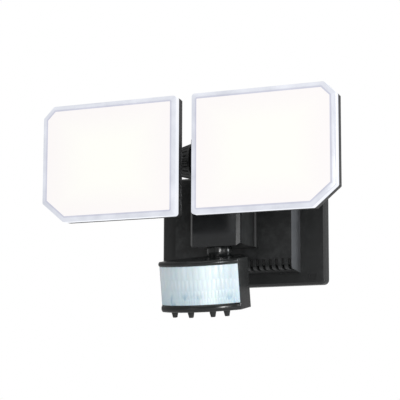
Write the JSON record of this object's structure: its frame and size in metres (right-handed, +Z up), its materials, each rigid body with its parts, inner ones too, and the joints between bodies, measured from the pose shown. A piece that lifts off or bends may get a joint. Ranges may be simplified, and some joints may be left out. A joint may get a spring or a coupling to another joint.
{
  "type": "twin head floodlight with motion sensor",
  "caption": "Wall-mounted outdoor floodlight: tilting and panning rectangular lamp heads with glowing lenses on a ribbed wall canopy, and a swivelling motion sensor with setting knobs below.",
  "frame": {"origin": "centre of the canopy's back, in the plane of the wall", "axes": "+Z up, +Y into the wall so the lamp faces -Y, +X to the right as seen from in front"},
  "size_m": [0.3166, 0.1663, 0.2186],
  "materials": {
    "black_housing": "satin black moulded plastic",
    "black_cast": "satin black powder coat on die-cast aluminium",
    "lit_lens": "opal white diffusing lens, lit from behind",
    "sensor_lens": "milky ribbed motion lens",
    "rubber_seal": "black rubber",
    "zinc_steel": "zinc plated",
    "circuit_board": "green circuit board",
    "white_plastic": "white plastic",
    "driver_case": "bare aluminium case"
  },
  "bodies": {
    "base": {"canopy": "black_housing", "wall_gasket": "rubber_seal", "mounting_bracket": "zinc_steel", "left_canopy_screw": "black_cast", "right_canopy_screw": "black_cast", "led_driver": "driver_case", "control_board": "circuit_board", "terminal_block": "white_plastic", "column_body": "black_housing", "left_column_screw": "zinc_steel", "right_column_screw": "zinc_steel", "column_cover": "black_housing", "left_cover_screw": "black_cast", "right_cover_screw": "black_cast", "left_arm": "black_cast", "left_port_seal": "rubber_seal", "left_lock_nut": "black_housing", "right_arm": "black_cast", "right_port_seal": "rubber_seal", "right_lock_nut": "black_housing"},
    "left_knuckle": {"left_knuckle": "black_cast", "left_pan_bolt": "zinc_steel", "left_pan_nut": "zinc_steel"},
    "left_head": {"left_head_housing": "black_cast", "left_head_lens": "lit_lens", "left_head_lens_seal": "rubber_seal", "left_head_diffuser": "white_plastic", "left_head_led_board": "white_plastic", "left_head_screw_1": "zinc_steel", "left_head_screw_2": "zinc_steel", "left_head_screw_3": "zinc_steel", "left_head_screw_4": "zinc_steel", "left_head_tilt_bolt": "zinc_steel", "left_head_tilt_nut": "zinc_steel"},
    "right_knuckle": {"right_knuckle": "black_cast", "right_pan_bolt": "zinc_steel", "right_pan_nut": "zinc_steel"},
    "right_head": {"right_head_housing": "black_cast", "right_head_lens": "lit_lens", "right_head_lens_seal": "rubber_seal", "right_head_diffuser": "white_plastic", "right_head_led_board": "white_plastic", "right_head_screw_1": "zinc_steel", "right_head_screw_2": "zinc_steel", "right_head_screw_3": "zinc_steel", "right_head_screw_4": "zinc_steel", "right_head_tilt_bolt": "zinc_steel", "right_head_tilt_nut": "zinc_steel"},
    "sensor_swivel": {"left_swivel_half": "black_housing", "right_swivel_half": "black_housing", "swivel_pin": "zinc_steel"},
    "sensor_head": {"sensor_bezel": "black_housing", "sensor_lens": "sensor_lens", "sensor_housing": "black_housing", "sensor_board": "circuit_board", "heat_detector": "zinc_steel"},
    "duration_knob": {"duration_knob": "black_housing"},
    "range_knob": {"range_knob": "black_housing"},
    "dusk_knob": {"dusk_knob": "black_housing"},
    "mode_knob": {"mode_knob": "black_housing"}
  },
  "joints": [
    {"name": "left_head_pan", "type": "hinge", "parent": "base", "child": "left_knuckle", "pos_m": [-0.08345, -0.098, 0.057], "axis": [0, 0, 1], "range_deg": [-45, 3]},
    {"name": "left_head_tilt", "type": "hinge", "parent": "left_knuckle", "child": "left_head", "pos_m": [-0.08345, -0.12, 0.057], "axis": [1, 0, 0], "range_deg": [-40, 25]},
    {"name": "right_head_pan", "type": "hinge", "parent": "base", "child": "right_knuckle", "pos_m": [0.08345, -0.098, 0.057], "axis": [0, 0, 1], "range_deg": [-3, 45]},
    {"name": "right_head_tilt", "type": "hinge", "parent": "right_knuckle", "child": "right_head", "pos_m": [0.08345, -0.12, 0.057], "axis": [1, 0, 0], "range_deg": [-40, 25]},
    {"name": "sensor_pan", "type": "hinge", "parent": "base", "child": "sensor_swivel", "pos_m": [0, -0.075, -0.029], "axis": [0, 0, 1], "range_deg": [-45, 45]},
    {"name": "sensor_tilt", "type": "hinge", "parent": "sensor_swivel", "child": "sensor_head", "pos_m": [0, -0.075, -0.029], "axis": [1, 0, 0], "range_deg": [-15, 15]},
    {"name": "duration_turn", "type": "hinge", "parent": "sensor_head", "child": "duration_knob", "pos_m": [-0.02984, -0.11854, -0.09357], "axis": [0, -0.1814, 0.9834], "range_deg": [-135, 135]},
    {"name": "range_turn", "type": "hinge", "parent": "sensor_head", "child": "range_knob", "pos_m": [-0.00835, -0.12686, -0.0951], "axis": [0, -0.1814, 0.9834], "range_deg": [-135, 135]},
    {"name": "dusk_turn", "type": "hinge", "parent": "sensor_head", "child": "dusk_knob", "pos_m": [0.01471, -0.12548, -0.09485], "axis": [0, -0.1814, 0.9834], "range_deg": [-135, 135]},
    {"name": "mode_turn", "type": "hinge", "parent": "sensor_head", "child": "mode_knob", "pos_m": [0.02748, -0.12001, -0.09384], "axis": [0, -0.1814, 0.9834], "range_deg": [-135, 135]}
  ]
}
